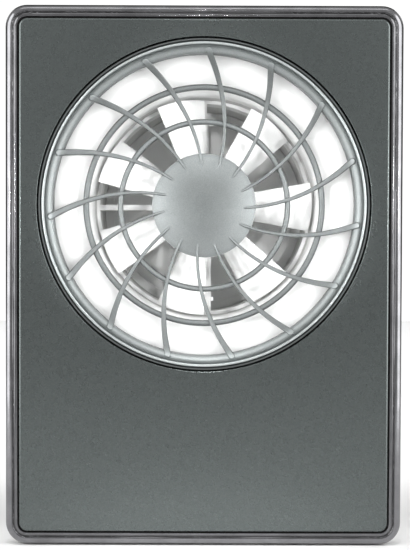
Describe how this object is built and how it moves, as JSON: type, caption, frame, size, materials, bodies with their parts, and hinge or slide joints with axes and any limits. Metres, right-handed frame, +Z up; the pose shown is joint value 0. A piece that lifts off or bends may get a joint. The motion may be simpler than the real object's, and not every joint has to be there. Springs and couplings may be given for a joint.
{
  "type": "bathroom exhaust fan",
  "caption": "Wall-mounted bathroom exhaust fan with a tall front cover, a round spiral intake grille, an axial impeller and a duct spigot with a backdraught shutter.",
  "frame": {"origin": "where the duct axis meets the wall plane, at the centre of the wall screw pattern", "axes": "+Y into the wall along the duct, +Z up, the front cover faces -Y, +X to the right seen from the room"},
  "size_m": [0.206, 0.126, 0.28],
  "materials": {
    "plate_metallic": "dark metallic paint, satin",
    "smoked_gloss": "smoked, glossy",
    "dark_plastic": "moulded, matt",
    "silver_paint": "silver metallic paint, satin",
    "white_plastic": "moulded, fine matt",
    "spring_steel": "bright",
    "zinc_steel": "zinc plated",
    "bright_steel": "ground",
    "core_steel": "laminated",
    "copper_wire": "enamelled copper",
    "ferrite": "sintered, matt",
    "board_green": "solder resist",
    "white_lead": "soft plastic",
    "blue_lead": "soft plastic",
    "grey_rubber": "matt",
    "blue_plastic": "moulded",
    "yellow_plastic": "moulded",
    "black_plastic": "moulded",
    "nylon": "moulded"
  },
  "bodies": {
    "casing": {"casing": "white_plastic", "inlet_funnel": "white_plastic", "duct_spigot": "white_plastic", "motor_bracket": "white_plastic", "shutter_frame": "white_plastic", "electronics_lid": "white_plastic", "cover_clips": "spring_steel", "flap_spring": "spring_steel", "duct_screws": "zinc_steel", "lid_screws": "zinc_steel", "board_screws": "zinc_steel", "clamp_screws": "zinc_steel", "terminal_screws": "zinc_steel", "shutter_pin": "bright_steel", "bearing_front": "bright_steel", "bearing_rear": "bright_steel", "stator_core": "core_steel", "stator_windings": "copper_wire", "motor_board": "board_green", "control_board": "board_green", "motor_lead": "white_lead", "supply_leads": "blue_lead", "cable_grommet": "grey_rubber", "relay": "blue_plastic", "filter_capacitor": "yellow_plastic", "smoothing_capacitor": "black_plastic", "inductor": "ferrite", "control_chip": "black_plastic", "humidity_sensor": "spring_steel", "motor_connector": "nylon", "mains_connector": "nylon", "terminal_block": "nylon", "cable_clamp": "nylon", "timer_trimmer": "blue_plastic", "humidity_trimmer": "blue_plastic"},
    "front_cover": {"front_plate": "plate_metallic", "cover_rim": "smoked_gloss", "cover_frame": "dark_plastic", "grille": "silver_paint"},
    "impeller": {"impeller": "white_plastic", "rotor_cup": "zinc_steel", "magnet_ring": "ferrite", "motor_shaft": "bright_steel", "shaft_clip": "spring_steel"},
    "flap_left": {"flap_left": "white_plastic"},
    "flap_right": {"flap_right": "white_plastic"},
    "timer_knob": {"timer_knob": "nylon"},
    "humidity_knob": {"humidity_knob": "nylon"}
  },
  "joints": [
    {"name": "cover_pull", "type": "slide", "parent": "casing", "child": "front_cover", "axis": [0, -1, 0], "range_m": [0, 0.014]},
    {"name": "impeller_spin", "type": "hinge", "parent": "casing", "child": "impeller", "pos_m": [0, 0, 0], "axis": [0, 1, 0], "continuous": true},
    {"name": "flap_left_open", "type": "hinge", "parent": "casing", "child": "flap_left", "pos_m": [0, 0.072, 0], "axis": [0, 0, -1], "range_deg": [0, 78], "stiffness_Nm_per_rad": 0.002, "springref_deg": -20.05, "deforming": ["flap_spring"]},
    {"name": "flap_right_open", "type": "hinge", "parent": "casing", "child": "flap_right", "pos_m": [0, 0.072, 0], "axis": [0, 0, 1], "range_deg": [0, 78], "stiffness_Nm_per_rad": 0.002, "springref_deg": -20.05, "deforming": ["flap_spring"]},
    {"name": "timer_turn", "type": "hinge", "parent": "casing", "child": "timer_knob", "pos_m": [0.0415, -0.02, -0.118], "axis": [0, 1, 0], "range_deg": [0, 270]},
    {"name": "humidity_turn", "type": "hinge", "parent": "casing", "child": "humidity_knob", "pos_m": [0.0535, -0.02, -0.136], "axis": [0, 1, 0], "range_deg": [0, 270]}
  ]
}
